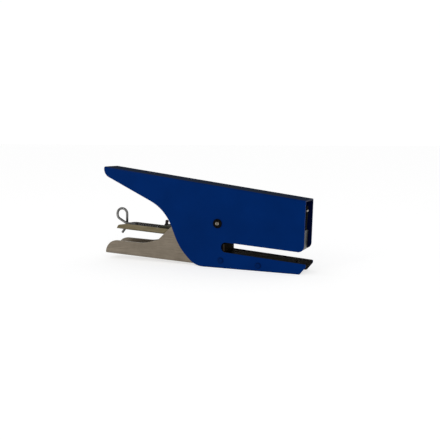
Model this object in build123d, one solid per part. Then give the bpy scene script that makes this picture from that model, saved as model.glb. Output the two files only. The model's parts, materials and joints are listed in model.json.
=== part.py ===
from build123d import *
import os
from math import acos, atan2, cos, degrees, hypot, radians, sin, tan

# A plier stapler. A folded sheet body holds an anvil arm below and the head above a paper
# mouth. A squeeze lever, a staple magazine and the body share one pivot pin. Squeezing the
# lever swings the magazine down on the paper, and then pushes the driver blade through its
# nose. All sizes are in millimetres. X runs towards the head, Y across, Z up. While the
# pieces are drawn, X = 0 is the pivot and Z = 0 is the underside of the anvil arm; each is
# moved to the part's own frame when it is written.

# ---- fits ----
PIN_FIT = 0.05  # radial gap round a pin, rivet or sleeve
SIDE_GAP = 0.3  # gap between plates that slide past each other
STAPLE_GAP = 0.1  # gap round the staples
STAPLE_SIDE = 0.2  # gap between the staples and the magazine's walls
LIP_GAP = 0.3  # gap between the staples' crowns and the lips over them

# ---- body: two side plates and a spine, folded from one sheet ----
BODY_SHEET = 1.0
BODY_BEND_R = 1.5
HEAD_REACH = 63.9  # pivot to the top front corner of the head
HEAD_TOP_Z = 50.4
HEAD_LEAN = 1.4  # degrees that the front edge leans forward
SPINE_SLOPE = 7.3  # degrees that the spine rises towards the tail
TAIL_REACH = 93.4  # pivot to the tip of the tail
TAIL_DEPTH = 6.1
TAIL_TIP_R = 7.0
WAIST = (-41.7, 40.1, 34.0)  # X, Z and radius where the tail's underside turns down
BELLY_BACK = (-30.3, 12.45, 42.0)
BELLY_FOOT = (-17.5, 0.0, 15.0)
PIVOT_Z = 31.8

# ---- paper mouth and anvil arm ----
THROAT = 61.3  # depth of the mouth, from the head's front edge
THROAT_ROUND = 0.47  # radius of the mouth's back corners, as a share of its height there
MOUTH_GAP = 7.8  # height of the mouth at the front of the head
ROOF_SLOPE = 3.6
HEAD_CORNER_R = 4.0
ARM_PROUD = 0.6  # how far the arm reaches past the head
ARM_HEIGHT = 7.1  # at the tip
ARM_SLOPE = 4.2
ARM_TIP_CHAMFER = (4.2, 5.2)
ARM_TIP_R = (0.8, 1.2, 0.7)
ARM_FRONT_GAP = 0.4  # arm channel and anvil behind the plates' front edges
ARM_FRONT_OPENING = (3.0, 4.0)  # how far back and how high the channel's front is open
ARM_SHEET = 1.2
ARM_BACK_X = -1.5
ARM_RECESS = 0.3  # arm channel below the edges of the plates
PAPER_STOP = (2.4, 1.4)  # reach in front of the mouth's back, and thickness
PAPER_STOP_GAP = 1.4  # under the mouth's upper edge
ANVIL_LENGTH = 16.0
ANVIL_THICK = 1.6
ANVIL_PROUD = 0.15
ANVIL_EDGE_R = 0.4
GROOVE_LENGTH = 4.0
GROOVE_WIDTH = 1.3
GROOVE_DEPTH = 0.5
GROOVE_PAST = 0.2  # grooves start this far outside the staple's leg
ARM_RIVETS = ((2.4, 5.4), (30.6, 3.8))
ARM_RIVET_R = 1.4
ARM_RIVET_HEAD = (2.1, 0.6)
ANVIL_RIVET_R = 1.1
ANVIL_RIVET_BACK = 4.0  # in front of the anvil's back edge
ANVIL_RIVET_HEAD = (2.0, 0.7)
ANVIL_RIVET_PLAY = 0.3  # between the arm and the rivet's head

# ---- pivot and return spring ----
SLEEVE_R = 2.5
SCREW_R = 1.5
PIVOT_HEAD = (3.3, 0.9)
SCREW_SLOT = (0.8, 0.45)
SPOOL_WALL = 0.85
RETURN_WIRE_R = 0.55
RETURN_TURNS = 4
RETURN_PITCH = 1.4
RETURN_LEG_TOP = (12.0, 0.4)  # reach of the front leg, and its gap under the spine
RETURN_REST = 0.6  # the rear leg's end above the cross pin
SPRING_PIN = (-16.0, 37.0)
SPRING_PIN_R = 1.5

# ---- squeeze lever ----
LEVER_SHEET = 1.2
LEVER_BEND_R = 1.6
LEVER_REACH = 94.0
LEVER_END_Z = (4.3, 14.75)
LEVER_NOSE_R = 10.0
LEVER_SLOPE = 2.25  # degrees that the grip falls towards the pivot
LEVER_FOOT = (-8.0, 3.0)  # X and radius
LEVER_ELBOW = (-4.0, -11.8, 6.0)  # the corners from here on are X, Z from the pivot, and radius
LEVER_FRONT_LOW = (26.0, -3.8, 2.0)
LEVER_FRONT_HIGH = (26.0, 9.7, 4.0)
LEVER_SHOULDER = (-22.0, 10.4, 8.0)
GRIP_RISE = (-48.6, -14.9, 4.0)
GRIP_DIP = (-60.5, -18.0, 25.0)
DRIVER_ARM_BACK_X = 11.0
DRIVER_ARM_Z = (31.5, 43.0)  # low and high Z of its back end
DRIVER_ARM_FRONT_Z = (33.0, 43.2)
DRIVER_ARM_R = (2.0, 1.5, 3.0)
ARM_SWEEP = 2.2  # room behind the blade for the arm as it swings down
TONGUE = (4.6, 1.3)  # width, and reach past the blade
JOINT_RIVETS = ((15.5, 36.5), (22.0, 36.5))
JOINT_RIVET_R = 1.3
JOINT_RIVET_HEAD = (2.2, 0.6)
BUFFER = (38.0, 10.0, 9.0)  # X of its middle, length and width
BUFFER_R = 1.0
BUFFER_GAP = 0.15

# ---- magazine, drawn level in its own frame: U forward, Y across, W up ----
NOSE_SETBACK = 3.2  # nose plate behind the head's top front corner
NOSE_Z = 15.55
MAGAZINE_TILT = 3.1  # degrees that it falls towards the nose
MAGAZINE_BACK = 84.5  # behind the pivot, as are the other places of the tail
MAGAZINE_SHEET = 0.8
MAGAZINE_BEND_R = 1.2
TAIL_WALL_HEIGHT = 4.3
WALL_STEP = (27.5, 33.5)  # where the walls drop to the tail height
WALL_STEP_R = 1.5
TAIL_TAPER = (8.1, 1.5, 3.0)  # length, and the length and height of its blunt tip
TAIL_TAPER_R = 6.0
TAIL_BLUNT_R = 2.0
LIP = 1.0
EAR = (10.0, 5.0)  # length, and height over the pivot
EAR_R = 4.0
EAR_ROOT = 1.0  # how far the ear spreads at its foot
LIP_CLEAR = 2.0  # lips end this far from the ears and steps
EXIT_SLOT = 1.1
NOSE_PLATE_HEIGHT = 13.4
NOSE_TAB = (7.5, 1.5, 7.5)  # length, low W and high W
NOSE_RIVET = (5.0, 4.5)
NOSE_RIVET_R = 0.9
NOSE_RIVET_HEAD = (1.4, 0.45)
CORE_SHEET = 0.6
CORE_BACK = 48.5  # behind the pivot
CORE_LEAD_IN = (6.0, 1.2)
CORE_LEAD_R = (3.0, 0.8)
CORE_FRONT_R = 0.4
CORE_RIVETS = (20.0, 32.5)  # behind the nose, and behind the pivot
CORE_RIVET_R = 1.0
CORE_RIVET_HEAD = (1.7, 0.4)
SADDLE = (25.0, 33.0)
SADDLE_SKIRT = 4.5
SADDLE_STUD = (2.2, 2.0)
MAGAZINE_SPRING_R = 3.2
MAGAZINE_SPRING_WIRE_R = 0.4
MAGAZINE_SPRING_PITCH = 2.4
BUMP_STOP = (49.3, 7.3)  # behind the pivot, and height
BUMP_STOP_PROUD = 0.5  # ball's middle outside the magazine's wall
BUMP_STOP_R = 1.35
BUMP_POST_R = 0.4

# ---- staples and driver ----
STAPLE_WIDTH = 12.8
STAPLE_WIRE = 0.5
STAPLE_LEG = 6.3
STRIP_LENGTH = 50.0
BLADE_THICK = 0.6
BLADE_SIDE = 0.3  # each side narrower than the staples
BLADE_TOP_Z = 45.4
WINDOW_GAP = 0.3

# ---- loading rod and pusher ----
ROD_R = 0.95
ROD_W = 3.6
ROD_FRONT = 3.6
ROD_TURN = 80.0  # where the rod turns up into the ring, behind the pivot
RING_WIDTH = 8.0
RING_LOW_W = 7.6
RING_TOP_W = 14.6
RING_R = 3.9
RING_SIDE_STEP = 1.9  # the ring's end passes beside the rod
RING_STEPS = (0.15, 0.4)  # shares of that step reached at the ring's back and top
RING_LEAN = -0.7
HOOK_START_W = 1.5
HOOK_TIP = (4.0, -4.2)
HOOK_BEND_R = 3.0
HOOK_SLOT = 6.1
COLLAR = (71.5, 2.0, 1.8)  # start behind the pivot, length and radius
TIP = (1.4, 1.5)
PUSHER_LENGTH = 10.0
PUSHER_GAP = 0.2
FOLLOWER_R = 1.7
FOLLOWER_WIRE_R = 0.25
FOLLOWER_PITCH = 2.0

# ---- motion, in degrees ----
MAGAZINE_SWING = 7.2  # at the closed end of the stroke

# ---- sizes that follow from the ones above ----
ARM_REACH = HEAD_REACH + ARM_PROUD
MAGAZINE_INSIDE = STAPLE_WIDTH + 2 * STAPLE_SIDE
MAGAZINE_WIDTH = MAGAZINE_INSIDE + 2 * MAGAZINE_SHEET
LEVER_INSIDE = MAGAZINE_WIDTH + 2 * SIDE_GAP
LEVER_WIDTH = LEVER_INSIDE + 2 * LEVER_SHEET
BODY_INSIDE = LEVER_WIDTH + 2 * SIDE_GAP
BODY_WIDTH = BODY_INSIDE + 2 * BODY_SHEET
CORE_WIDTH = STAPLE_WIDTH - 2 * STAPLE_WIRE - 2 * STAPLE_GAP
CROWN_W = MAGAZINE_SHEET + STAPLE_GAP + STAPLE_LEG
WALL_HEIGHT = CROWN_W + LIP_GAP + MAGAZINE_SHEET
BLADE_WIDTH = STAPLE_WIDTH - 2 * BLADE_SIDE
NOSE_X = HEAD_REACH - NOSE_SETBACK
NOSE_TO_PIVOT = NOSE_X * cos(radians(MAGAZINE_TILT)) + (PIVOT_Z - NOSE_Z) * sin(
    radians(MAGAZINE_TILT)
)
BLADE_BACK = MAGAZINE_SHEET + STAPLE_GAP + BLADE_THICK
STRIP_FRONT = BLADE_BACK + STAPLE_GAP
CORE_TOP = CROWN_W - STAPLE_WIRE - STAPLE_GAP / 2
ORIGIN_X = (ARM_REACH - max(LEVER_REACH, TAIL_REACH)) / 2


def arm_top(x):
    """Height of the arm plates' upper edge."""
    return ARM_HEIGHT + (ARM_REACH - x) * tan(radians(ARM_SLOPE))


def roof(x):
    """Height of the head's lower edge."""
    front = arm_top(HEAD_REACH) + MOUTH_GAP
    return front + (HEAD_REACH - x) * tan(radians(ROOF_SLOPE))


def spine(x, depth=0.0):
    """Height of the spine's outer face, or of a line so far below it."""
    rise = (HEAD_REACH - x) * tan(radians(SPINE_SLOPE))
    return HEAD_TOP_Z + rise - depth / cos(radians(SPINE_SLOPE))


def grip_low(x, depth=0.0):
    """Height of the lever's underside, or of a line so far above it."""
    fall = (x + LEVER_REACH) * tan(radians(LEVER_SLOPE))
    return LEVER_END_Z[0] - fall + depth / cos(radians(LEVER_SLOPE))


def driver_arm_top(x, depth=0.0):
    """Height of the driver arm's upper face, or of a line so far below it."""
    run = (x - DRIVER_ARM_BACK_X) / (NOSE_X - DRIVER_ARM_BACK_X)
    return DRIVER_ARM_Z[1] + run * (DRIVER_ARM_FRONT_Z[1] - DRIVER_ARM_Z[1]) - depth


def magazine_low(_u):
    """Height of the magazine's underside in its own frame, the same all along."""
    return 0.0


def by_pivot(corner):
    """A corner whose height is given from the pivot, as X, Z and radius."""
    x, up, radius = corner
    return x, PIVOT_Z + up, radius


def swung(x, z, degrees_down):
    """A point of the XZ plane, swung about the pivot so that its front goes down."""
    a = radians(degrees_down)
    up = z - PIVOT_Z
    return x * cos(a) + up * sin(a), PIVOT_Z + up * cos(a) - x * sin(a)


def in_magazine(shape):
    """Place a shape drawn in the magazine's level frame."""
    return Location((NOSE_X, 0, NOSE_Z), (0, MAGAZINE_TILT, 0)) * shape


def magazine_uw(x, z):
    """Magazine coordinates of a point of the XZ plane."""
    a = radians(MAGAZINE_TILT)
    dx = x - NOSE_X
    dz = z - NOSE_Z
    return dx * cos(a) - dz * sin(a), dx * sin(a) + dz * cos(a)


def outline(corners, width):
    """A plate or block from XZ corners (x, z, corner radius), centred on Y = 0."""
    points = [(x, z) for x, z, _ in corners]
    radii = [r for _, _, r in corners]
    face = Plane.XZ * make_face(FilletPolyline(*points, radius=radii, close=True))
    return extrude(face, width / 2, both=True)


def block(x0, x1, y0, y1, z0, z1):
    """A box between two corners."""
    middle = ((x0 + x1) / 2, (y0 + y1) / 2, (z0 + z1) / 2)
    return Pos(*middle) * Box(x1 - x0, y1 - y0, z1 - z0)


def rod_y(x, z, r, y0, y1):
    """A round bar across the stapler."""
    turned = Rotation(90, 0, 0) * Cylinder(r, y1 - y0)
    return Pos(x, (y0 + y1) / 2, z) * turned


def domed_head(x, z, r, height, y, side):
    """A low domed head on the face at y, standing out on that side (-1 or +1)."""
    head = rod_y(x, z, r, min(y, y + side * height), max(y, y + side * height))
    rim = head.edges().filter_by(GeomType.CIRCLE).sort_by(Axis.Y)[-1 if side > 0 else 0]
    return fillet(rim, height * 0.75)


def folded(corners, width, sheet, bend_r, height, up):
    """A folded U-channel: a web on z = height(x), and walls up (+1) or down (-1) from it.

    The walls are cut to the XZ outline that the corners give.
    """
    reach = 2 * LEVER_REACH
    start = Vector(-reach, 0, height(-reach))
    run = Vector(reach, 0, height(reach)) - start
    depth = reach
    outer = Pos(0, up * depth / 2) * Rectangle(width, depth)
    outer = fillet(outer.vertices().group_by(Axis.Y)[0 if up > 0 else -1], bend_r)
    inner = Pos(0, up * (sheet + depth / 2)) * Rectangle(width - 2 * sheet, depth)
    inner = fillet(inner.vertices().group_by(Axis.Y)[0 if up > 0 else -1], bend_r - sheet)
    across = Plane(origin=start, x_dir=(0, 1, 0), z_dir=run)
    channel = extrude(across * (outer - inner), amount=run.length)
    return outline(corners, width) & channel


def wire_solid(path, radius):
    """A round wire along a path."""
    start = Plane(origin=path @ 0, z_dir=path % 0)
    return sweep(start * Circle(radius), path=path)


def save(name, *shapes):
    """Write one node, moved to the part's own frame."""
    moved = [Pos(-ORIGIN_X, 0, 0) * s for s in shapes]
    solids = [s for m in moved for s in m.solids()]
    node = solids[0] if len(solids) == 1 else Compound(children=solids)
    node.label = name
    export_step(node, f"parts/{name}.step")


# ---------------------------------------------------------------- fixed body


def body_shell():
    root_x = HEAD_REACH - THROAT
    root_r = THROAT_ROUND * (roof(root_x) - arm_top(root_x))
    lean = tan(radians(HEAD_LEAN))
    low_front_x = HEAD_REACH - lean * (HEAD_TOP_Z - roof(HEAD_REACH))
    run, rise = ARM_TIP_CHAMFER
    low_r, chamfer_r, top_r = ARM_TIP_R
    tail_top = spine(-TAIL_REACH)
    corners = [
        (ARM_REACH - run, 0, low_r),
        (ARM_REACH, rise, chamfer_r),
        (ARM_REACH, arm_top(ARM_REACH), top_r),
        (root_x, arm_top(root_x), root_r),
        (root_x, roof(root_x), root_r),
        (low_front_x, roof(low_front_x), HEAD_CORNER_R),
        (HEAD_REACH, HEAD_TOP_Z, 0),
        (-TAIL_REACH, tail_top, 0),
        (-TAIL_REACH, tail_top - TAIL_DEPTH, TAIL_TIP_R),
        WAIST,
        BELLY_BACK,
        BELLY_FOOT,
    ]
    shell = folded(corners, BODY_WIDTH, BODY_SHEET, BODY_BEND_R, spine, -1)
    shell -= rod_y(0, PIVOT_Z, SLEEVE_R + PIN_FIT, -BODY_WIDTH, BODY_WIDTH)
    for x, z in ARM_RIVETS:
        shell -= rod_y(x, z, ARM_RIVET_R + PIN_FIT, -BODY_WIDTH, BODY_WIDTH)
    save("body_shell", shell)


def arm_block(top_drop, low, back_x, width):
    """The space between the arm plates, with its top stepped down under the anvil."""
    step_x = ARM_REACH - ANVIL_LENGTH
    run, rise = ARM_TIP_CHAMFER
    front_x = ARM_REACH - ARM_FRONT_GAP
    seat = ANVIL_THICK - ANVIL_PROUD + top_drop
    drop = ARM_RECESS + top_drop
    corners = [
        (back_x, low, 0),
        (front_x - run, low, 0),
        (front_x, low + rise, 0),
        (front_x, arm_top(front_x) - seat, 0),
        (step_x - top_drop, arm_top(step_x) - seat, 0),
        (step_x - top_drop, arm_top(step_x) - drop, 0),
        (back_x, arm_top(back_x) - drop, 0),
    ]
    return outline(corners, width)


def anvil_arm():
    arm = arm_block(0, 0, ARM_BACK_X, BODY_INSIDE)
    hollow_width = BODY_INSIDE - 2 * ARM_SHEET
    arm -= arm_block(ARM_SHEET, -ARM_SHEET, 2 * ARM_BACK_X, hollow_width)
    back, high = ARM_FRONT_OPENING
    arm -= block(ARM_REACH - back, ARM_REACH, -hollow_width / 2, hollow_width / 2, -1, high)
    root_x = HEAD_REACH - THROAT
    reach, thick = PAPER_STOP
    half = BODY_INSIDE / 2
    stop_low = arm_top(root_x) - ARM_RECESS - ARM_SHEET
    stop_high = roof(root_x) - PAPER_STOP_GAP
    arm += block(root_x + reach - thick, root_x + reach, -half, half, stop_low, stop_high)
    for x, z in ARM_RIVETS:
        arm -= rod_y(x, z, ARM_RIVET_R + PIN_FIT, -BODY_INSIDE, BODY_INSIDE)
    x = ARM_REACH - ANVIL_LENGTH + ANVIL_RIVET_BACK
    arm -= Pos(x, 0, 0) * Cylinder(ANVIL_RIVET_R + PIN_FIT, 2 * PIVOT_Z)
    save("anvil_arm", arm)


def staple_plane_closed():
    """X where the driven staple meets the anvil."""
    a = radians(MAGAZINE_TILT)
    u = -(BLADE_BACK - BLADE_THICK / 2)
    return swung(NOSE_X + u * cos(a), NOSE_Z - u * sin(a), MAGAZINE_SWING)[0]


def anvil_plate():
    back_x = ARM_REACH - ANVIL_LENGTH
    front_x = ARM_REACH - ARM_FRONT_GAP
    lift = ANVIL_PROUD
    sunk = ANVIL_THICK - ANVIL_PROUD
    plate = outline(
        [
            (back_x, arm_top(back_x) - sunk, 0),
            (front_x, arm_top(front_x) - sunk, 0),
            (front_x, arm_top(front_x) + lift, ANVIL_EDGE_R),
            (back_x, arm_top(back_x) + lift, ANVIL_EDGE_R),
        ],
        BODY_INSIDE,
    )
    x = staple_plane_closed()
    radius = (GROOVE_LENGTH**2 / 4 + GROOVE_DEPTH**2) / (2 * GROOVE_DEPTH)
    groove = Rotation(0, 90 + ARM_SLOPE, 0) * Cylinder(radius, GROOVE_WIDTH)
    for side in (-1, 1):
        y = side * (STAPLE_WIDTH / 2 - GROOVE_LENGTH / 2 + GROOVE_PAST)
        plate -= Pos(x, y, arm_top(x) + lift + radius - GROOVE_DEPTH) * groove
    plate -= Pos(back_x + ANVIL_RIVET_BACK, 0, 0) * Cylinder(ANVIL_RIVET_R + PIN_FIT, 2 * PIVOT_Z)
    save("anvil_plate", plate)


def anvil_rivet():
    x = ARM_REACH - ANVIL_LENGTH + ANVIL_RIVET_BACK
    top = arm_top(x + ANVIL_RIVET_R) + ANVIL_PROUD
    low = arm_top(x) - ANVIL_THICK + ANVIL_PROUD - ARM_SHEET - ANVIL_RIVET_PLAY
    radius, height = ANVIL_RIVET_HEAD
    shank = Pos(x, 0, (low + top) / 2) * Cylinder(ANVIL_RIVET_R, top - low)
    head = Pos(x, 0, low - height / 2) * Cylinder(radius, height)
    save("anvil_rivet", shank + head)


def arm_rivets():
    half = BODY_WIDTH / 2
    radius, height = ARM_RIVET_HEAD
    rivets = []
    for x, z in ARM_RIVETS:
        rivet = rod_y(x, z, ARM_RIVET_R, -half, half)
        rivet += domed_head(x, z, radius, height, half, 1)
        rivet += domed_head(x, z, radius, height, -half, -1)
        rivets.append(rivet)
    save("arm_rivets", *rivets)


def slotted(head, y, side):
    """Cut the driver slot into a pivot head, upright as it stands in the body."""
    width, depth = SCREW_SLOT
    outer = y + side * PIVOT_HEAD[1]
    y0 = min(outer, outer - side * depth)
    reach = 2 * PIVOT_HEAD[0]
    return head - block(-width / 2, width / 2, y0, y0 + depth, PIVOT_Z - reach, PIVOT_Z + reach)


def pivot_pieces():
    half = BODY_WIDTH / 2
    radius, height = PIVOT_HEAD
    tube = rod_y(0, PIVOT_Z, SLEEVE_R, -half, half)
    tube += slotted(domed_head(0, PIVOT_Z, radius, height, -half, -1), -half, -1)
    tube -= rod_y(0, PIVOT_Z, SCREW_R + PIN_FIT, -half / 2, half)
    save("pivot_sleeve", tube)
    screw = rod_y(0, PIVOT_Z, SCREW_R, -half / 2 + 1, half)
    screw += slotted(domed_head(0, PIVOT_Z, radius, height, half, 1), half, 1)
    save("pivot_screw", screw)
    spool_half = MAGAZINE_INSIDE / 2 - SIDE_GAP
    spool = rod_y(0, PIVOT_Z, SLEEVE_R + PIN_FIT + SPOOL_WALL, -spool_half, spool_half)
    spool -= rod_y(0, PIVOT_Z, SLEEVE_R + PIN_FIT, -spool_half, spool_half)
    save("spring_spool", spool)


def tangent_angle(x, z, radius, side):
    """Degrees round the pivot where a line from (x, z) touches a circle, on one side."""
    return degrees(atan2(z, x) + side * acos(radius / hypot(x, z)))


def return_spring():
    radius = SLEEVE_R + PIN_FIT + SPOOL_WALL + 2 * PIN_FIT + RETURN_WIRE_R
    reach, gap = RETURN_LEG_TOP
    top = (reach, spine(reach, BODY_SHEET) - gap - RETURN_WIRE_R - PIVOT_Z)
    pin_x, pin_z = SPRING_PIN
    over_pin = pin_z + SPRING_PIN_R + RETURN_WIRE_R + RETURN_REST - PIVOT_Z
    rest = (pin_x - 2, over_pin)
    start = tangent_angle(*top, radius, 1)
    end = tangent_angle(*rest, radius, -1)
    height = RETURN_PITCH * (RETURN_TURNS + (end - start) / 360)
    coil = Helix(RETURN_PITCH, height, radius)
    top_leg = Line(coil @ 0 - (coil % 0) * hypot(*top), coil @ 0)
    rest_leg = Line(coil @ 1, coil @ 1 + (coil % 1) * hypot(*rest))
    path = Wire([*top_leg.edges(), *coil.edges(), *rest_leg.edges()])
    axis = Plane(origin=(0, height / 2, PIVOT_Z), x_dir=(1, 0, 0), z_dir=(0, -1, 0))
    save("return_spring", axis * Rotation(0, 0, start) * wire_solid(path, RETURN_WIRE_R))


def stop_buffer():
    x, length, width = BUFFER
    x0 = x - length / 2
    x1 = x + length / 2
    low = driver_arm_top(x) + BUFFER_GAP
    buffer = outline(
        [
            (x0, low, BUFFER_R),
            (x1, low, BUFFER_R),
            (x1, spine(x1, BODY_SHEET), 0),
            (x0, spine(x0, BODY_SHEET), 0),
        ],
        width,
    )
    save("stop_buffer", buffer)


# ---------------------------------------------------------------- squeeze lever


def lever_channel():
    low, high = LEVER_END_Z
    foot_x, foot_r = LEVER_FOOT
    corners = [
        (-LEVER_REACH, low, 0),
        (foot_x, grip_low(foot_x), foot_r),
        by_pivot(LEVER_ELBOW),
        by_pivot(LEVER_FRONT_LOW),
        by_pivot(LEVER_FRONT_HIGH),
        by_pivot(LEVER_SHOULDER),
        by_pivot(GRIP_RISE),
        by_pivot(GRIP_DIP),
        (-LEVER_REACH, high, LEVER_NOSE_R),
    ]
    lever = folded(corners, LEVER_WIDTH, LEVER_SHEET, LEVER_BEND_R, grip_low, 1)
    lever -= rod_y(0, PIVOT_Z, SLEEVE_R + PIN_FIT, -LEVER_WIDTH, LEVER_WIDTH)
    lever -= rod_y(*SPRING_PIN, SPRING_PIN_R + PIN_FIT, -LEVER_WIDTH, LEVER_WIDTH)
    for x, z in JOINT_RIVETS:
        lever -= rod_y(x, z, JOINT_RIVET_R + PIN_FIT, -LEVER_WIDTH, LEVER_WIDTH)
    save("lever_channel", lever)


def spring_pin():
    save("spring_pin", rod_y(*SPRING_PIN, SPRING_PIN_R, -LEVER_WIDTH / 2, LEVER_WIDTH / 2))


def blade_plane_x(z):
    """X of the blade's front face at a height, from the magazine's tilt."""
    front = BLADE_BACK - BLADE_THICK
    return NOSE_X - front + (z - NOSE_Z) * tan(radians(MAGAZINE_TILT))


def driver_arm():
    back = DRIVER_ARM_BACK_X
    front = blade_plane_x(DRIVER_ARM_FRONT_Z[0]) - BLADE_THICK - ARM_SWEEP
    back_low_r, front_low_r, back_high_r = DRIVER_ARM_R
    corners = [
        (back, DRIVER_ARM_Z[0], back_low_r),
        (front, DRIVER_ARM_FRONT_Z[0], front_low_r),
        (front, driver_arm_top(front), 0),
        (back, driver_arm_top(back), back_high_r),
    ]
    arm = folded(corners, LEVER_INSIDE, LEVER_SHEET, LEVER_BEND_R, driver_arm_top, -1)
    tip = blade_plane_x(DRIVER_ARM_FRONT_Z[1]) + TONGUE[1]
    tongue = outline(
        [
            (front - 1, driver_arm_top(front - 1, LEVER_SHEET), 0),
            (tip, driver_arm_top(tip, LEVER_SHEET), 0),
            (tip, driver_arm_top(tip), 0),
            (front - 1, driver_arm_top(front - 1), 0),
        ],
        TONGUE[0],
    )
    arm += tongue
    for x, z in JOINT_RIVETS:
        arm -= rod_y(x, z, JOINT_RIVET_R + PIN_FIT, -LEVER_WIDTH, LEVER_WIDTH)
    save("driver_arm", arm)


def arm_joint_rivets():
    radius, height = JOINT_RIVET_HEAD
    outer = LEVER_WIDTH / 2
    inner = LEVER_INSIDE / 2 - LEVER_SHEET
    rivets = []
    for x, z in JOINT_RIVETS:
        for side in (-1, 1):
            ends = sorted((side * inner, side * outer))
            rivet = rod_y(x, z, JOINT_RIVET_R, *ends)
            rivets.append(rivet + domed_head(x, z, radius, height, side * inner, -side))
    save("arm_joint_rivets", *rivets)


# ---------------------------------------------------------------- magazine


def magazine_channel():
    pivot_u, pivot_w = magazine_uw(0, PIVOT_Z)
    length = NOSE_TO_PIVOT + MAGAZINE_BACK
    step_start, step_end = (NOSE_TO_PIVOT + back for back in WALL_STEP)
    ear_half = EAR[0] / 2
    ear_top = pivot_w + EAR[1]
    taper, blunt, tip_w = TAIL_TAPER
    wall_front = -MAGAZINE_SHEET
    corners = [
        (wall_front, 0, 0),
        (wall_front, WALL_HEIGHT, 0.5 * MAGAZINE_SHEET),
        (pivot_u + ear_half + EAR_ROOT, WALL_HEIGHT, EAR_ROOT),
        (pivot_u + ear_half, ear_top, EAR_R),
        (pivot_u - ear_half, ear_top, EAR_R),
        (pivot_u - ear_half - EAR_ROOT, WALL_HEIGHT, EAR_ROOT),
        (-step_start, WALL_HEIGHT, WALL_STEP_R),
        (-step_end, TAIL_WALL_HEIGHT, WALL_STEP_R),
        (-length + taper, TAIL_WALL_HEIGHT, TAIL_TAPER_R),
        (-length + blunt, tip_w, TAIL_BLUNT_R),
        (-length, 0, 0),
    ]
    half = MAGAZINE_WIDTH / 2
    inner = MAGAZINE_INSIDE / 2
    channel = folded(corners, MAGAZINE_WIDTH, MAGAZINE_SHEET, MAGAZINE_BEND_R, magazine_low, 1)
    lip_w = WALL_HEIGHT - MAGAZINE_SHEET
    spans = (
        (pivot_u + ear_half + LIP_CLEAR, -STRIP_FRONT - STAPLE_WIRE),
        (-step_start + LIP_CLEAR, pivot_u - ear_half - LIP_CLEAR),
    )
    for start, end in spans:
        for side in (-1, 1):
            y0, y1 = sorted((side * (inner - LIP), side * inner))
            channel += block(start, end, y0, y1, lip_w, WALL_HEIGHT)
    exit_half = STAPLE_WIDTH / 2 + STAPLE_GAP
    exit_back = wall_front - EXIT_SLOT
    channel -= block(exit_back, 0, -exit_half, exit_half, -1, MAGAZINE_SHEET + 0.1)
    slot_half = ROD_R + SIDE_GAP
    channel -= block(
        -length - 1,
        -length + HOOK_SLOT,
        RING_SIDE_STEP - slot_half,
        RING_SIDE_STEP + slot_half,
        -1,
        MAGAZINE_SHEET + 0.1,
    )
    for u in core_rivet_places():
        channel -= Pos(u, 0, 0) * Cylinder(CORE_RIVET_R + PIN_FIT, WALL_HEIGHT)
    u, w = NOSE_RIVET
    channel -= rod_y(-u, w, NOSE_RIVET_R + PIN_FIT, -half - 1, half + 1)
    channel -= rod_y(pivot_u, pivot_w, SLEEVE_R + PIN_FIT, -half - 1, half + 1)
    save("magazine_channel", in_magazine(channel))


def nose_plate():
    half = MAGAZINE_WIDTH / 2
    outer = half + MAGAZINE_SHEET
    length, low, high = NOSE_TAB
    plate = block(-MAGAZINE_SHEET, 0, -half, half, 0, NOSE_PLATE_HEIGHT)
    upright = plate.edges().filter_by(Axis.X).sort_by(Axis.Z)[-2:]
    plate = fillet(upright, 1.5)
    tabs = block(-length, 0, -outer, outer, low, high)
    front_edges = tabs.edges().filter_by(Axis.Z).sort_by(Axis.X)[-2:]
    tabs = fillet(front_edges, MAGAZINE_SHEET)
    tabs -= block(-length - 1, -MAGAZINE_SHEET, -half, half, low - 1, high + 1)
    plate += tabs
    u, w = NOSE_RIVET
    plate -= rod_y(-u, w, NOSE_RIVET_R + PIN_FIT, -outer - 1, outer + 1)
    save("nose_plate", in_magazine(plate))


def nose_rivets():
    inner = MAGAZINE_INSIDE / 2
    outer = MAGAZINE_WIDTH / 2 + MAGAZINE_SHEET
    u, w = NOSE_RIVET
    radius, height = NOSE_RIVET_HEAD
    rivets = []
    for side in (-1, 1):
        ends = sorted((side * inner, side * outer))
        rivet = rod_y(-u, w, NOSE_RIVET_R, *ends)
        rivets.append(in_magazine(rivet + domed_head(-u, w, radius, height, side * outer, side)))
    save("nose_rivets", *rivets)


def core_rivet_places():
    """Magazine coordinates U of the rivets through the core and the magazine's floor."""
    from_nose, from_pivot = CORE_RIVETS
    return -from_nose, -NOSE_TO_PIVOT - from_pivot


def staple_core():
    half = CORE_WIDTH / 2
    lead, drop = CORE_LEAD_IN
    front = -STRIP_FRONT - STAPLE_GAP
    back = -NOSE_TO_PIVOT - CORE_BACK
    core = outline(
        [
            (front, MAGAZINE_SHEET, 0),
            (front, CORE_TOP, CORE_FRONT_R),
            (back + lead, CORE_TOP, CORE_LEAD_R[0]),
            (back, CORE_TOP - drop, CORE_LEAD_R[1]),
            (back, MAGAZINE_SHEET, 0),
        ],
        CORE_WIDTH,
    )
    inner = half - CORE_SHEET
    core -= block(back - 1, 1, -inner, inner, MAGAZINE_SHEET + CORE_SHEET, CORE_TOP + 1)
    for u in core_rivet_places():
        core -= Pos(u, 0, MAGAZINE_SHEET) * Cylinder(CORE_RIVET_R + PIN_FIT, CORE_TOP)
    save("staple_core", in_magazine(core))


def core_rivets():
    radius, height = CORE_RIVET_HEAD
    floor = MAGAZINE_SHEET + CORE_SHEET
    rivets = []
    for u in core_rivet_places():
        shank = Pos(u, 0, floor / 2) * Cylinder(CORE_RIVET_R, floor)
        head = Pos(u, 0, floor + height / 2) * Cylinder(radius, height)
        rivets.append(in_magazine(shank + head))
    save("core_rivets", *rivets)


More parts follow.
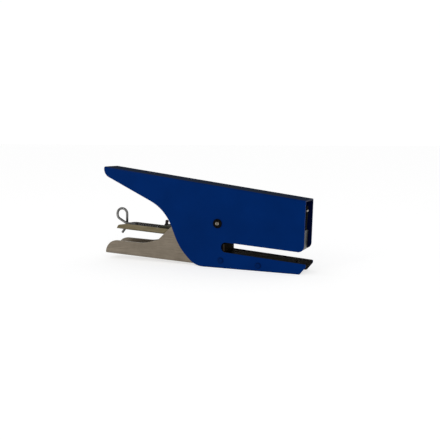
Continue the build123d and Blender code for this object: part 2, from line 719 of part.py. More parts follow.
def spring_saddle():
    half = MAGAZINE_WIDTH / 2
    outer = half + MAGAZINE_SHEET
    front, back = SADDLE
    top = WALL_HEIGHT + MAGAZINE_SHEET
    saddle = block(-back, -front, -outer, outer, SADDLE_SKIRT, top)
    long_edges = saddle.edges().filter_by(Axis.X).sort_by(Axis.Z)[-2:]
    saddle = fillet(long_edges, MAGAZINE_SHEET)
    saddle -= block(-back - 1, -front + 1, -half, half, 0, WALL_HEIGHT)
    radius, height = SADDLE_STUD
    saddle += Pos(-(front + back) / 2, 0, top + height / 2) * Cylinder(radius, height)
    save("spring_saddle", in_magazine(saddle))


def magazine_spring():
    u = -(SADDLE[0] + SADDLE[1]) / 2
    a = radians(MAGAZINE_TILT)
    seat_w = WALL_HEIGHT + MAGAZINE_SHEET
    x = NOSE_X + u * cos(a) + seat_w * sin(a)
    tilt_gap = MAGAZINE_SPRING_R * tan(a) + PIN_FIT
    low = NOSE_Z - u * sin(a) + seat_w * cos(a) + tilt_gap + MAGAZINE_SPRING_WIRE_R
    high = driver_arm_top(x, LEVER_SHEET) - PIN_FIT - MAGAZINE_SPRING_WIRE_R
    path = Helix(MAGAZINE_SPRING_PITCH, high - low, MAGAZINE_SPRING_R - MAGAZINE_SPRING_WIRE_R)
    save("magazine_spring", Pos(x, 0, low) * wire_solid(path, MAGAZINE_SPRING_WIRE_R))


def bump_stop():
    back, w = BUMP_STOP
    u = -NOSE_TO_PIVOT - back
    y = MAGAZINE_WIDTH / 2 + BUMP_STOP_PROUD
    post_y = MAGAZINE_WIDTH / 2 - MAGAZINE_SHEET / 2
    height = w - TAIL_WALL_HEIGHT
    post = Pos(u, post_y, TAIL_WALL_HEIGHT + height / 2) * Cylinder(BUMP_POST_R, height)
    ball = Pos(u, y, w) * Sphere(BUMP_STOP_R)
    save("bump_stop", in_magazine(post + ball))


def staple_section(start, end):
    """A run of staples: crown and two legs, STAPLE_WIRE thick."""
    half = STAPLE_WIDTH / 2
    inner = half - STAPLE_WIRE
    low = CROWN_W - STAPLE_LEG
    run = block(start, end, -half, half, low, CROWN_W)
    return run - block(start - 1, end + 1, -inner, inner, low - 1, CROWN_W - STAPLE_WIRE)


def staple_strip():
    start = -STRIP_FRONT - STRIP_LENGTH
    save("staple_strip", in_magazine(staple_section(start, -STRIP_FRONT)))


# ---------------------------------------------------------------- driver


def driver_blade():
    back = -BLADE_BACK
    front = back + BLADE_THICK
    half = BLADE_WIDTH / 2
    tongue_low = driver_arm_top(NOSE_X, LEVER_SHEET)
    tongue_high = driver_arm_top(NOSE_X)
    low = magazine_uw(NOSE_X, tongue_low)[1] - WINDOW_GAP
    high = magazine_uw(NOSE_X, tongue_high)[1] + WINDOW_GAP
    top = magazine_uw(NOSE_X, BLADE_TOP_Z)[1]
    blade = block(back, front, -half, half, CROWN_W + STAPLE_GAP, top)
    upper = blade.edges().filter_by(Axis.X).sort_by(Axis.Z)[-2:]
    blade = fillet(upper, 1.0)
    window = TONGUE[0] / 2 + WINDOW_GAP
    blade -= block(back - 1, front + 1, -window, window, low, high)
    save("driver_blade", in_magazine(blade))


# ---------------------------------------------------------------- loading rod and pusher


def loading_rod():
    turn = -NOSE_TO_PIVOT - ROD_TURN
    left = turn - RING_WIDTH + RING_LEAN
    right = left + RING_WIDTH
    step = RING_SIDE_STEP
    hook_u, hook_w = HOOK_TIP
    along_left, along_top = RING_STEPS
    path = FilletPolyline(
        (-ROD_FRONT, 0, ROD_W),
        (turn, 0, ROD_W),
        (left, step * along_left, RING_LOW_W),
        (left, step * along_top, RING_TOP_W),
        (right, step * (1 - along_top), RING_TOP_W),
        (right, step, HOOK_START_W),
        (right - hook_u, step, hook_w),
        radius=[HOOK_BEND_R, RING_R, RING_R, RING_R, HOOK_BEND_R],
    )
    save("loading_rod", in_magazine(wire_solid(path, ROD_R)))


def rod_fittings():
    behind, length, radius = COLLAR
    start = NOSE_TO_PIVOT + behind
    turned = Rotation(0, 90, 0)
    collar = turned * Cylinder(radius, length) - turned * Cylinder(ROD_R + PIN_FIT, length)
    save("rod_collar", in_magazine(Pos(-start - length / 2, 0, ROD_W) * collar))
    tip_length, tip_r = TIP
    tip = turned * Cylinder(tip_r, tip_length) - turned * Cylinder(ROD_R + PIN_FIT, tip_length)
    save("rod_tip", in_magazine(Pos(-ROD_FRONT - tip_length / 2, 0, ROD_W) * tip))


def pusher():
    front = -STRIP_FRONT - STRIP_LENGTH - STAPLE_GAP
    back = front - PUSHER_LENGTH
    half = CORE_WIDTH / 2 - CORE_SHEET - PUSHER_GAP
    floor = MAGAZINE_SHEET + CORE_SHEET + CORE_RIVET_HEAD[1] + PUSHER_GAP
    body = staple_section(back, front)
    body += block(back, front, -half, half, floor, CROWN_W)
    bore = Rotation(0, 90, 0) * Cylinder(ROD_R + PIN_FIT, 2 * PUSHER_LENGTH)
    body -= Pos((front + back) / 2, 0, ROD_W) * bore
    save("pusher", in_magazine(body))


def follower_spring():
    front = STRIP_FRONT + STRIP_LENGTH + STAPLE_GAP + PUSHER_LENGTH
    gap = FOLLOWER_WIRE_R + PIN_FIT
    collar = NOSE_TO_PIVOT + COLLAR[0]
    length = collar - front - 2 * gap
    path = Helix(FOLLOWER_PITCH, length, FOLLOWER_R - FOLLOWER_WIRE_R)
    coil = Rotation(0, 90, 0) * wire_solid(path, FOLLOWER_WIRE_R)
    save("follower_spring", in_magazine(Pos(-collar + gap, 0, ROD_W) * coil))


os.makedirs("parts", exist_ok=True)
for make_piece in (
    body_shell,
    anvil_arm,
    anvil_plate,
    anvil_rivet,
    arm_rivets,
    pivot_pieces,
    return_spring,
    stop_buffer,
    lever_channel,
    spring_pin,
    driver_arm,
    arm_joint_rivets,
    magazine_channel,
    nose_plate,
    nose_rivets,
    staple_core,
    core_rivets,
    spring_saddle,
    magazine_spring,
    bump_stop,
    staple_strip,
    driver_blade,
    loading_rod,
    rod_fittings,
    pusher,
    follower_spring,
):
    make_piece()
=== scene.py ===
"""Looks for the plier stapler: materials, softened edges, spring copies, light and camera.

Lengths are in metres, in the frame of the CAD model: X towards the head, Y across, Z up.
"""

import json
import math

import bmesh
import bpy
from mathutils import Matrix, Vector


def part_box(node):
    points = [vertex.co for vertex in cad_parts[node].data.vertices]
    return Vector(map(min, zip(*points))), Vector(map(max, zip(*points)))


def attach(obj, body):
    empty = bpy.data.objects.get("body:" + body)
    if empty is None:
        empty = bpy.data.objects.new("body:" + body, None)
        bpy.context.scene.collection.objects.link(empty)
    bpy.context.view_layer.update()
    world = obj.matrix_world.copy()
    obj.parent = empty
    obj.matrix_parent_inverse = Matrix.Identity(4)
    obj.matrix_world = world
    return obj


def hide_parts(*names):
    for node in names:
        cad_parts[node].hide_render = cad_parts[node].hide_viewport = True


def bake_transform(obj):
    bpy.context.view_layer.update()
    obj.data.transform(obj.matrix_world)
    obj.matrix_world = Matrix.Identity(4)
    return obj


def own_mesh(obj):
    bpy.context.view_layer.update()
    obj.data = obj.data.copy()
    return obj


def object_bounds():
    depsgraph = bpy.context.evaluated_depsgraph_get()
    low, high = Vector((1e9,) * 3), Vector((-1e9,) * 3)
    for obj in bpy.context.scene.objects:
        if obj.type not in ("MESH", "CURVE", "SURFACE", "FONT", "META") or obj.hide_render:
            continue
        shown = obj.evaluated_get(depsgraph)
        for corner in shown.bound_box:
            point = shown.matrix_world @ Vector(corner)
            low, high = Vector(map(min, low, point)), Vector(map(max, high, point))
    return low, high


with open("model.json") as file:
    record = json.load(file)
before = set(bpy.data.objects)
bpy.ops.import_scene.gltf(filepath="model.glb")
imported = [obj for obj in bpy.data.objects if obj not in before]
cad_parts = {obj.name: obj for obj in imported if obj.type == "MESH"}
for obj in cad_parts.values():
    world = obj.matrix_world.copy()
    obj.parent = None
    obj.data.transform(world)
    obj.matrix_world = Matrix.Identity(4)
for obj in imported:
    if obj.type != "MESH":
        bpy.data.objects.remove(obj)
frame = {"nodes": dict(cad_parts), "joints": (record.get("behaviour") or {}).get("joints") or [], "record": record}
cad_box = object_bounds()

MM = 0.001
NODES = frame["nodes"]
JOINTS = {joint["name"]: joint for joint in frame["joints"]}
PIVOT = Vector(JOINTS["lever_hinge"]["pos_m"])
REARWARD = Vector(JOINTS["loading_rod_slide"]["axis"]).normalized()

# ---------------------------------------------------------------- camera, light and floor

CAMERA_PLACE = Vector((0.18995, -0.4236, 0.0883))
CAMERA_FORWARD = Vector((-0.3838, 0.9157, -0.1193))
CAMERA_UP = Vector((-0.0488, 0.1089, 0.9929))
CAMERA_LENS = 52.28  # mm, on a 36 mm sensor

SKY_TURNS = (0.25, 0.90)  # upward parts of the direction where the sky starts and stops dimming
SKY_STRENGTHS = (1.02, 0.40)
FLOOR_HALF = 30.0
FLOOR_GAP = 0.05 * MM  # under the stapler
FLOOR_GREY = (0.55, 0.55, 0.55, 1.0)
FLOOR_GLOW = 0.64
WHITE = (1.0, 1.0, 1.0, 1.0)
STRIP_PLACES = {"strip_left": (-0.30, -1.00, 0.45), "strip_right": (0.65, -0.90, 0.45)}
STRIP_SIZE = (0.14, 0.55)
STRIP_POWER = 1.3


def add_camera():
    data = bpy.data.cameras.new("photo_camera")
    data.lens = CAMERA_LENS
    data.sensor_width = 36.0
    data.clip_start = 0.02
    data.clip_end = 100.0
    camera = bpy.data.objects.new("photo_camera", data)
    bpy.context.scene.collection.objects.link(camera)
    back = -CAMERA_FORWARD.normalized()
    right = CAMERA_UP.cross(back).normalized()
    up = back.cross(right)
    turn = Matrix((right, up, back)).transposed().to_4x4()
    camera.matrix_world = Matrix.Translation(CAMERA_PLACE) @ turn
    bpy.context.scene.camera = camera


def add_strip_light(name, place):
    """A tall soft strip light aimed at the pivot."""
    data = bpy.data.lights.new(name, "AREA")
    data.shape = "RECTANGLE"
    data.size, data.size_y = STRIP_SIZE
    data.energy = STRIP_POWER
    light = bpy.data.objects.new(name, data)
    bpy.context.scene.collection.objects.link(light)
    light.location = place
    light.rotation_mode = "QUATERNION"
    aim = PIVOT - Vector(place)
    light.rotation_quaternion = aim.to_track_quat("-Z", "Y")


def add_sky():
    """A pale sky: bright along the horizon and dimmer overhead."""
    world = bpy.data.worlds.new("studio")
    bpy.context.scene.world = world
    world.use_nodes = True
    tree = world.node_tree
    background = tree.nodes["Background"]
    place = tree.nodes.new("ShaderNodeTexCoord")
    split = tree.nodes.new("ShaderNodeSeparateXYZ")
    shade = tree.nodes.new("ShaderNodeMapRange")
    shade.inputs["From Min"].default_value, shade.inputs["From Max"].default_value = SKY_TURNS
    shade.inputs["To Min"].default_value, shade.inputs["To Max"].default_value = SKY_STRENGTHS
    tree.links.new(place.outputs["Generated"], split.inputs["Vector"])
    tree.links.new(split.outputs["Z"], shade.inputs["Value"])
    tree.links.new(shade.outputs["Result"], background.inputs["Strength"])
    background.inputs["Color"].default_value = WHITE


def add_floor():
    """A plain pale floor that glows a little, so that the shadows stay faint."""
    bm = bmesh.new()
    bmesh.ops.create_grid(bm, x_segments=1, y_segments=1, size=FLOOR_HALF)
    mesh = bpy.data.meshes.new("floor")
    bm.to_mesh(mesh)
    bm.free()
    floor = bpy.data.objects.new("floor", mesh)
    bpy.context.scene.collection.objects.link(floor)
    floor.location.z = cad_box[0].z - FLOOR_GAP
    material = bpy.data.materials.new("pale_floor")
    material.use_nodes = True
    surface = material.node_tree.nodes["Principled BSDF"]
    surface.inputs["Base Color"].default_value = FLOOR_GREY
    surface.inputs["Roughness"].default_value = 0.9
    surface.inputs["Specular IOR Level"].default_value = 0.0
    surface.inputs["Emission Color"].default_value = WHITE
    surface.inputs["Emission Strength"].default_value = FLOOR_GLOW
    mesh.materials.append(material)


# ---------------------------------------------------------------- material building blocks


class Finish:
    """A procedural material, with short calls for the nodes that several materials share."""

    def __init__(self, name):
        self.material = bpy.data.materials.new(name)
        self.material.use_nodes = True
        self.tree = self.material.node_tree
        self.surface = self.tree.nodes["Principled BSDF"]
        self.place = self.tree.nodes.new("ShaderNodeTexCoord").outputs["Object"]
        self.geometry = self.tree.nodes.new("ShaderNodeNewGeometry")

    def node(self, kind, links=(), **settings):
        made = self.tree.nodes.new("ShaderNode" + kind)
        for key, value in settings.items():
            setattr(made, key, value)
        for socket, source in links:
            self.tree.links.new(source, made.inputs[socket])
        return made

    def noise(self, scale, detail=3.0, rough=0.55, stretch=(1, 1, 1), turn=(0, 0, 0)):
        """Noise from 0 to 1, with scale in waves per metre before the stretch."""
        mapping = self.node("Mapping", [("Vector", self.place)])
        mapping.inputs["Scale"].default_value = stretch
        mapping.inputs["Rotation"].default_value = turn
        made = self.node("TexNoise", [("Vector", mapping.outputs["Vector"])])
        made.inputs["Scale"].default_value = scale
        made.inputs["Detail"].default_value = detail
        made.inputs["Roughness"].default_value = rough
        return made.outputs["Fac"]

    def spread(self, source, low, high, to_low=0.0, to_high=1.0):
        """The part of source between low and high, spread over another range and clamped."""
        made = self.node("MapRange", [("Value", source)])
        made.inputs["From Min"].default_value = low
        made.inputs["From Max"].default_value = high
        made.inputs["To Min"].default_value = to_low
        made.inputs["To Max"].default_value = to_high
        return made.outputs["Result"]

    def part_of(self, source, axis):
        """One coordinate, "X", "Y" or "Z", of a vector."""
        return self.node("SeparateXYZ", [("Vector", source)]).outputs[axis]

    def maths(self, operation, *sources):
        made = self.node("Math", operation=operation)
        for index, source in enumerate(sources):
            if isinstance(source, (int, float)):
                made.inputs[index].default_value = source
            else:
                self.tree.links.new(source, made.inputs[index])
        return made.outputs["Value"]

    def colour(self, share, low, high):
        """Low where share is 0 and high where it is 1; either may be a colour or a socket."""
        made = self.node("Mix", data_type="RGBA")
        self.tree.links.new(share, made.inputs["Factor"])
        for key, value in ((6, low), (7, high)):
            if isinstance(value, tuple):
                made.inputs[key].default_value = (*value, 1.0)
            else:
                self.tree.links.new(value, made.inputs[key])
        return made.outputs[2]

    def edges(self, radius, low=0.02, high=0.22):
        """1 on outside and inside edges narrower than radius, 0 on flat faces."""
        soft = self.node("Bevel", samples=6)
        soft.inputs["Radius"].default_value = radius
        dot = self.node("VectorMath", operation="DOT_PRODUCT")
        self.tree.links.new(soft.outputs["Normal"], dot.inputs[0])
        self.tree.links.new(self.geometry.outputs["Normal"], dot.inputs[1])
        turned = self.maths("SUBTRACT", 1.0, dot.outputs["Value"])
        return self.spread(turned, low, high)

    def hollows(self, distance, alone=False):
        """1 in corners and under laps, 0 in the open; alone leaves the other pieces out."""
        made = self.node("AmbientOcclusion", samples=8, only_local=alone)
        made.inputs["Distance"].default_value = distance
        return self.spread(made.outputs["AO"], 0.25, 0.85, 1.0, 0.0)

    def away_from_pivot(self):
        """Distance from the pivot's axis, in metres."""
        flat = self.node("VectorMath", [(0, self.place)], operation="MULTIPLY")
        flat.inputs[1].default_value = (1, 0, 1)
        offset = self.node("VectorMath", [(0, flat.outputs["Vector"])], operation="SUBTRACT")
        offset.inputs[1].default_value = (PIVOT.x, 0, PIVOT.z)
        distance = self.node("VectorMath", [(0, offset.outputs["Vector"])], operation="LENGTH")
        return distance.outputs["Value"]

    def bump(self, height, distance, strength=1.0, under=None):
        made = self.node("Bump", [("Height", height)])
        made.inputs["Distance"].default_value = distance
        made.inputs["Strength"].default_value = strength
        if under is not None:
            self.tree.links.new(under, made.inputs["Normal"])
        return made.outputs["Normal"]

    def done(self, **sources):
        """Links sockets, or sets values, on the surface shader. Returns the material."""
        for key, source in sources.items():
            socket = self.surface.inputs[key.replace("_", " ")]
            if isinstance(source, (int, float)):
                socket.default_value = source
            else:
                self.tree.links.new(source, socket)
        return self.material


def lighter(colour, factor):
    """The colour times factor, which darkens it where factor is under 1."""
    return tuple(min(1.0, part * factor) for part in colour)


# ---------------------------------------------------------------- materials

BLUE = (0.0003, 0.0150, 0.0980)
BLUE_EDGE = (0.0010, 0.0260, 0.1500)
# Painted shade: the next colour darkens the paint on the body's inner faces and in gaps, and the one after greys
# the spine's top.
BLUE_SHADE = (0.0005, 0.0011, 0.0130)
SPINE_SHADE_GREY = (0.0230, 0.0300, 0.0430)
GLOSS_TINT = (0.12, 0.45, 1.0, 1.0)
INNER_FACE_Y = 9.2 * MM  # inner faces of the painted plates, from the mid-plane
CHANNEL_FACE_Y = 6.6 * MM  # inner faces of the magazine's walls
OIL_TINT = (0.22, 0.20, 0.18, 1.0)  # of reflections in oiled steel
OIL_LEVEL = 0.1
# Black of the painted shadow and painted shade on the driver blade.
SHADOW_BLACK = (0.003, 0.003, 0.003)
ALONG_X = (0.04, 1.0, 1.0)  # stretches of noise into grain
ALONG_Z = (1.0, 1.0, 0.05)


def body_paint(name, rivet=False):
    """Satin stove enamel: fine orange peel, paler edges, a greyer spine, and darker inner faces; the greyer spine
    and the darker inner faces and gaps are painted shade.

    On a rivet the paint is darker, and darkest around the head's edge, where the dark rim is painted shade.
    """
    paint = Finish(name)
    paint.surface.inputs["Specular Tint"].default_value = GLOSS_TINT
    cloud = paint.noise(45.0, detail=4.0)
    speck = paint.spread(paint.noise(5200.0, detail=2.0), 0.60, 0.78)
    scuff = paint.spread(paint.noise(900.0, stretch=(0.15, 1, 1)), 0.66, 0.82)
    tone = paint.colour(paint.spread(cloud, 0.3, 0.7), lighter(BLUE, 0.92), lighter(BLUE, 1.10))
    # Painted shade: faces that point up, the spine's top, turn grey in patches.
    up = paint.part_of(paint.geometry.outputs["Normal"], "Z")
    spine = paint.spread(up, 0.80, 0.985)
    spine_shade = paint.maths("MULTIPLY", spine, paint.spread(cloud, 0.2, 0.8, 0.80, 1.0))
    tone = paint.colour(spine_shade, tone, SPINE_SHADE_GREY)
    if rivet:
        # Painted shade around the rivet head's rim; the whole head is also a little darker.
        rim = paint.edges(1.0 * MM, 0.01, 0.10)
        tone = paint.colour(paint.maths("MAXIMUM", rim, 0.25), tone, BLUE_SHADE)
    else:
        edge = paint.maths("MULTIPLY", paint.edges(0.45 * MM), 0.30)
        tone = paint.colour(edge, tone, BLUE_EDGE)
    tone = paint.colour(paint.maths("MULTIPLY", speck, 0.15), tone, lighter(BLUE_EDGE, 0.8))
    # Painted shade: the plates' inner faces and the deep hollows in the body turn dark, except on the spine.
    across = paint.maths("ABSOLUTE", paint.part_of(paint.place, "Y"))
    inner = paint.spread(across, INNER_FACE_Y + 0.1 * MM, INNER_FACE_Y + 0.4 * MM, 0.88, 0.0)
    shaded = paint.maths("MULTIPLY", paint.hollows(14 * MM, alone=True), 0.96)
    off_spine = paint.spread(up, 0.5, 0.9, 1.0, 0.0)
    inside = paint.maths("MULTIPLY", paint.maths("MAXIMUM", inner, shaded), off_spine)
    tone = paint.colour(inside, tone, BLUE_SHADE)
    # Painted shade in the narrow gaps where other pieces meet the paint.
    tone = paint.colour(paint.maths("MULTIPLY", paint.hollows(1.6 * MM), 0.85), tone, BLUE_SHADE)
    rough = paint.spread(cloud, 0.25, 0.75, 0.42, 0.50)
    rough = paint.maths("ADD", rough, paint.maths("MULTIPLY", scuff, 0.12))
    peel = paint.bump(paint.noise(1500.0, detail=2.0), 0.012 * MM, 0.6)
    fine = paint.bump(speck, 0.004 * MM, 0.5, under=peel)
    gloss = paint.spread(up, 0.7, 0.95, 0.04, 0.0)
    return paint.done(Base_Color=tone, Roughness=rough, Normal=fine, Specular_IOR_Level=gloss)


def steel(name, dark, light, grain, grime_and_shade=0.6, reach=2.0 * MM, shaded_inside_y=None):
    """Rolled sheet steel: grain along one direction, blotches, scratches, soiling and painted shade in hollows.

    The grain is a stretch for its noise: small along the direction that it runs in. Where
    a mid-plane distance is given, faces nearer than that to the mid-plane are black: painted shade.
    """
    metal = Finish(name)
    streaks = metal.noise(2600.0, detail=4.0, stretch=grain)
    blotch = metal.noise(85.0, detail=4.0, rough=0.6)
    spots = metal.spread(metal.noise(1100.0, detail=3.0), 0.63, 0.76)
    thin = tuple(part * 0.35 for part in grain)
    lines = metal.noise(1900.0, detail=1.0, stretch=thin, turn=(0.1, 0.25, 0.1))
    scratches = metal.spread(lines, 0.68, 0.74)
    streaky = metal.maths("MULTIPLY", streaks, 0.55)
    share = metal.maths("ADD", streaky, metal.maths("MULTIPLY", blotch, 0.45))
    tone = metal.colour(metal.spread(share, 0.36, 0.64), dark, light)
    tone = metal.colour(metal.maths("MULTIPLY", scratches, 0.3), tone, lighter(light, 1.6))
    tone = metal.colour(metal.maths("MULTIPLY", spots, 0.25), tone, lighter(dark, 0.55))
    tone = metal.colour(metal.maths("MULTIPLY", metal.edges(0.30 * MM), 0.5), tone, lighter(light, 1.5))
    # Soiling and painted shade in hollows: darker, rougher, with dimmer reflections.
    grime_and_shade_share = metal.maths("MULTIPLY", metal.hollows(reach), grime_and_shade)
    # Painted shade: the channel's inner faces turn black.
    if shaded_inside_y is not None:
        across = metal.maths("ABSOLUTE", metal.part_of(metal.place, "Y"))
        inside_shade = metal.spread(across, shaded_inside_y + 0.1 * MM, shaded_inside_y + 0.3 * MM, 0.93, 0.0)
        grime_and_shade_share = metal.maths("MAXIMUM", grime_and_shade_share, inside_shade)
    tone = metal.colour(grime_and_shade_share, tone, lighter(dark, 0.12))
    rough = metal.spread(streaks, 0.3, 0.7, 0.3, 0.42)
    rough = metal.maths("ADD", rough, metal.maths("MULTIPLY", grime_and_shade_share, 0.25))
    fine = metal.bump(streaks, 0.006 * MM, 0.7)
    fine = metal.bump(scratches, 0.008 * MM, 0.5, under=fine)
    # Reflections are dimmed where the soiling and painted shade are.
    dulled = metal.colour(grime_and_shade_share, (1.0, 1.0, 1.0), (0.08, 0.08, 0.08))
    return metal.done(
        Base_Color=tone, Roughness=rough, Normal=fine, Metallic=1.0, Specular_Tint=dulled
    )


def oiled(name, dark, light):
    """Dark oiled or blackened steel, scuffed bright at its edges, with painted shade in its hollows."""
    metal = Finish(name)
    metal.surface.inputs["Specular Tint"].default_value = OIL_TINT
    metal.surface.inputs["Specular IOR Level"].default_value = OIL_LEVEL
    patch = metal.noise(260.0, detail=4.0)
    grain = metal.noise(3200.0, detail=3.0)
    tone = metal.colour(metal.spread(patch, 0.35, 0.68), dark, light)
    tone = metal.colour(metal.maths("MULTIPLY", metal.edges(0.25 * MM), 0.6), tone, lighter(light, 3.0))
    # Painted shade in hollows.
    tone = metal.colour(metal.maths("MULTIPLY", metal.hollows(1.5 * MM), 0.6), tone, lighter(dark, 0.3))
    rough = metal.spread(patch, 0.3, 0.7, 0.45, 0.6)
    fine = metal.bump(grain, 0.006 * MM, 0.6)
    return metal.done(Base_Color=tone, Roughness=rough, Normal=fine, Metallic=0.9)


def pivot_steel():
    """The pivot's turned ends: black at the rim, partly a black finish and partly painted shade of the recess;
    painted shade in the slot; brighter in the middle.
    """
    metal = Finish("pivot_turned_steel")
    metal.surface.inputs["Specular Tint"].default_value = OIL_TINT
    metal.surface.inputs["Specular IOR Level"].default_value = OIL_LEVEL
    out = metal.away_from_pivot()
    rings = metal.noise(9000.0, detail=2.0)
    # Black beyond the middle: partly a black finish, partly painted shade of the recess round the head.
    core = metal.spread(out, 1.05 * MM, 1.45 * MM, 1.0, 0.0)
    # Painted shade in the slot: the bright middle stops short of it.
    from_slot = metal.maths("SUBTRACT", metal.part_of(metal.place, "X"), PIVOT.x)
    off_slot = metal.maths("ABSOLUTE", from_slot)
    core = metal.maths("MULTIPLY", core, metal.spread(off_slot, 0.24 * MM, 0.42 * MM))
    turned = metal.spread(rings, 0.35, 0.65)
    rim = metal.colour(turned, (0.0025, 0.0025, 0.003), (0.009, 0.008, 0.007))
    bright_middle = metal.colour(turned, (0.16, 0.135, 0.105), (0.42, 0.385, 0.33))
    tone = metal.colour(core, rim, bright_middle)
    # Painted shade in hollows, near black.
    grime_and_shade = metal.maths("MULTIPLY", metal.hollows(0.7 * MM), 0.9)
    tone = metal.colour(grime_and_shade, tone, (0.002, 0.002, 0.002))
    rough = metal.spread(core, 0, 1, 0.5, 0.26)
    fine = metal.bump(rings, 0.004 * MM, 0.6)
    return metal.done(Base_Color=tone, Roughness=rough, Normal=fine, Metallic=0.95)


def blade_steel():
    """The driver blade: ground steel, black from the near edge to past the middle: painted shadow of the near
    plate.
    """
    metal = Finish("driver_blade_steel")
    metal.surface.inputs["Specular Tint"].default_value = OIL_TINT
    streaks = metal.noise(2600.0, detail=4.0, stretch=ALONG_Z)
    # Painted shadow of the near plate: black from the near edge to past the middle, with a wavy border.
    waves = metal.spread(streaks, 0.3, 0.7, -0.5 * MM, 0.5 * MM)
    wavy = metal.maths("ADD", metal.part_of(metal.place, "Y"), waves)
    out_of_shadow = metal.spread(wavy, 2.5 * MM, 5.5 * MM)
    grain = metal.spread(streaks, 0.36, 0.64)
    ground = metal.colour(grain, (0.040, 0.036, 0.027), (0.085, 0.078, 0.060))
    tone = metal.colour(out_of_shadow, SHADOW_BLACK, ground)
    # Painted shade in hollows.
    tone = metal.colour(metal.maths("MULTIPLY", metal.hollows(4 * MM), 0.5), tone, SHADOW_BLACK)
    rough = metal.spread(out_of_shadow, 0, 1, 0.55, 0.38)
    fine = metal.bump(streaks, 0.006 * MM, 0.7)
    return metal.done(Base_Color=tone, Roughness=rough, Normal=fine, Metallic=0.95)


def wire(name, dark, light, rough=(0.18, 0.28)):
    """Drawn wire: fine marks along it, and tarnish in patches."""
    metal = Finish(name)
    tarnish = metal.noise(520.0, detail=4.0)
    marks = metal.noise(5200.0, detail=2.0)
    tone = metal.colour(metal.spread(tarnish, 0.38, 0.66), dark, light)
    marked = metal.maths("MULTIPLY", metal.spread(marks, 0.6, 0.75), 0.35)
    tone = metal.colour(marked, tone, lighter(dark, 0.6))
    # Painted shade in hollows.
    tone = metal.colour(metal.maths("MULTIPLY", metal.hollows(0.9 * MM), 0.6), tone, lighter(dark, 0.3))
    low, high = rough
    fine = metal.bump(marks, 0.003 * MM, 0.6)
    return metal.done(
        Base_Color=tone, Roughness=metal.spread(tarnish, 0.3, 0.7, low, high), Normal=fine, Metallic=1.0
    )


def moulded(name, dark, light, rough=(0.45, 0.6)):
    """Moulded plastic, rubber or lacquer with a fine skin."""
    skin = Finish(name)
    patch = skin.noise(300.0, detail=4.0)
    grain = skin.noise(4200.0, detail=3.0)
    tone = skin.colour(skin.spread(patch, 0.35, 0.65), dark, light)
    tone = skin.colour(skin.maths("MULTIPLY", skin.edges(0.2 * MM), 0.35), tone, lighter(light, 1.6))
    # Painted shade in hollows.
    tone = skin.colour(skin.maths("MULTIPLY", skin.hollows(1.2 * MM), 0.5), tone, lighter(dark, 0.4))
    low, high = rough
    fine = skin.bump(grain, 0.01 * MM, 0.6)
    return skin.done(
        Base_Color=tone, Roughness=skin.spread(patch, 0.3, 0.7, low, high), Normal=fine
    )


SLOT_MATERIALS = {
    "body_paint": body_paint("body_paint_enamel"),
    "dark_steel": oiled("dark_oiled_steel", (0.008, 0.007, 0.006), (0.026, 0.021, 0.016)),
    "anvil_steel": oiled("black_anvil_steel", (0.006, 0.006, 0.007), (0.020, 0.020, 0.022)),
    "lever_steel": steel("lever_plated_steel", (0.150, 0.125, 0.094), (0.230, 0.195, 0.152), ALONG_X),
    # Strong soiling and painted shade in the magazine's hollows, and painted shade, black, on the channel's inner
    # faces.
    "magazine_steel": steel(
        "magazine_zinc_steel",
        (0.105, 0.086, 0.042),
        (0.190, 0.160, 0.104),
        ALONG_X,
        grime_and_shade=0.93,
        reach=7 * MM,
        shaded_inside_y=CHANNEL_FACE_Y,
    ),
    # Soiling and painted shade in the nose's hollows.
    "nose_steel": steel(
        "nose_ground_steel",
        (0.022, 0.022, 0.016),
        (0.050, 0.050, 0.038),
        ALONG_Z,
        grime_and_shade=0.8,
        reach=4 * MM,
    ),
    "wire_steel": wire("rod_drawn_wire", (0.090, 0.090, 0.088), (0.210, 0.208, 0.200)),
    "spring_steel": wire("spring_wire", (0.014, 0.012, 0.010), (0.045, 0.040, 0.034), (0.35, 0.45)),
    "staple_wire": wire("staple_bright_wire", (0.380, 0.380, 0.390), (0.620, 0.620, 0.630)),
    "pusher_steel": steel("pusher_formed_steel", (0.110, 0.104, 0.095), (0.200, 0.190, 0.175), ALONG_X),
    "bump_brown": moulded("bump_brown_lacquer", (0.012, 0.005, 0.003), (0.030, 0.013, 0.007), (0.3, 0.4)),
    "spool_nylon": moulded("spool_natural_nylon", (0.42, 0.39, 0.32), (0.55, 0.52, 0.44)),
    "buffer_rubber": moulded(
        "buffer_black_rubber", (0.006, 0.006, 0.006), (0.014, 0.014, 0.014), (0.7, 0.85)
    ),
}
PIVOT_STEEL = pivot_steel()
OWN_MATERIALS = {
    "pivot_sleeve": PIVOT_STEEL,
    "pivot_screw": PIVOT_STEEL,
    "driver_blade": blade_steel(),
    "arm_rivets": body_paint("rivet_paint_enamel", rivet=True),
}
SLOT_OF = {part["node"]: part["material_slot"] for part in frame["record"]["subparts"]}


def finish_nodes():
    """Give every CAD node its own material if it has one, or else the material of its slot."""
    for name, node in NODES.items():
        material = OWN_MATERIALS.get(name, SLOT_MATERIALS[SLOT_OF[name]])
        for place in node.material_slots:
            place.material = material


# ---------------------------------------------------------------- softened edges

EDGE_ROUND = {
    "body_shell": 0.22 * MM,
    "lever_channel": 0.20 * MM,
    "magazine_channel": 0.14 * MM,
    "nose_plate": 0.14 * MM,
    "anvil_plate": 0.15 * MM,
    "anvil_arm": 0.15 * MM,
    "driver_arm": 0.15 * MM,
    "driver_blade": 0.08 * MM,
    "spring_saddle": 0.10 * MM,
    "staple_core": 0.08 * MM,
    "stop_buffer": 0.25 * MM,
}
WELD_GAP = 0.001 * MM
SHARP_ANGLE = math.radians(35)


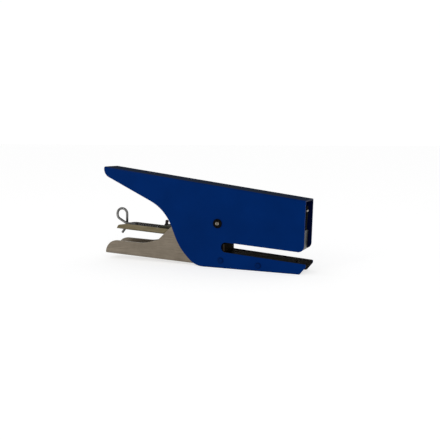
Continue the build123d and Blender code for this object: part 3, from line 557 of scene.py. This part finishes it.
def soften_edges():
    """Round the edges of the sheet parts and the buffer a little."""
    for name, width in EDGE_ROUND.items():
        weld = NODES[name].modifiers.new("weld", "WELD")
        weld.merge_threshold = WELD_GAP
        bevel = NODES[name].modifiers.new("bevel", "BEVEL")
        bevel.width = width
        bevel.segments = 2
        bevel.limit_method = "ANGLE"
        bevel.angle_limit = SHARP_ANGLE
        bevel.use_clamp_overlap = True
        bevel.harden_normals = True


# ---------------------------------------------------------------- springs


def spring_piece(node, body):
    """A copy of a spring's CAD mesh that may deform, standing for that node."""
    piece = bpy.data.objects.new(node + "_coil", NODES[node].data.copy())
    bpy.context.scene.collection.objects.link(piece)
    piece.data.materials.clear()
    piece.data.materials.append(SLOT_MATERIALS["spring_steel"])
    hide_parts(node)
    if body:
        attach(piece, body)
    return piece


def add_springs():
    """Copies of three coils: the return spring, which the lever winds, stays in place; the magazine spring, which
    the lever presses, rides with the magazine; the follower spring, which the pusher presses, rides with the
    loading rod.
    """
    wound = spring_piece("return_spring", None)
    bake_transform(wound)

    pressed = spring_piece("magazine_spring", "magazine")
    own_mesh(pressed)

    follower = spring_piece("follower_spring", "loading_rod")
    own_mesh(follower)


# ---------------------------------------------------------------- the bump stop's foot

BALL_R = 1.35 * MM
BALL_SIDE_TO_FOOT = 1.0 * MM  # from the ball's inner side to the foot's middle
FOOT_HALF_THICK = 0.68 * MM
FOOT_SIDES = 24
FOOT_RINGS = (  # height from the ball's middle, and half length along the wall, both in mm
    (-3.2, 2.3),
    (-2.9, 2.2),
    (-2.3, 1.7),
    (-1.6, 1.35),
    (-0.8, 1.15),
    (0.0, 0.9),
)


def add_stop_foot():
    """A flared foot under the bump stop's ball, over the edge of the magazine's far wall."""
    low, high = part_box("bump_stop")
    top = Vector(((low.x + high.x) / 2, low.y + BALL_SIDE_TO_FOOT, high.z - BALL_R))
    up = Vector((REARWARD.z, 0, -REARWARD.x))
    bm = bmesh.new()
    rings = []
    for height, half_long in FOOT_RINGS:
        ring = []
        for step in range(FOOT_SIDES):
            turn = 2 * math.pi * step / FOOT_SIDES
            along = REARWARD * (half_long * MM * math.cos(turn))
            across = Vector((0, FOOT_HALF_THICK * math.sin(turn), 0))
            ring.append(bm.verts.new(top + up * (height * MM) + along + across))
        rings.append(ring)
    for lower, upper in zip(rings, rings[1:]):
        for step in range(FOOT_SIDES):
            after = (step + 1) % FOOT_SIDES
            bm.faces.new((lower[step], lower[after], upper[after], upper[step]))
    bm.faces.new(rings[0])
    bm.faces.new(rings[-1])
    bmesh.ops.recalc_face_normals(bm, faces=bm.faces)
    mesh = bpy.data.meshes.new("bump_stop_foot")
    bm.to_mesh(mesh)
    bm.free()
    mesh.shade_smooth()
    mesh.materials.append(SLOT_MATERIALS["bump_brown"])
    foot = bpy.data.objects.new("bump_stop_foot", mesh)
    bpy.context.scene.collection.objects.link(foot)
    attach(foot, "magazine")


# ---------------------------------------------------------------- the scene

add_camera()
add_sky()
add_floor()
for strip, strip_place in STRIP_PLACES.items():
    add_strip_light(strip, strip_place)
bpy.context.scene.view_settings.view_transform = "Standard"

finish_nodes()
soften_edges()
add_springs()
add_stop_foot()
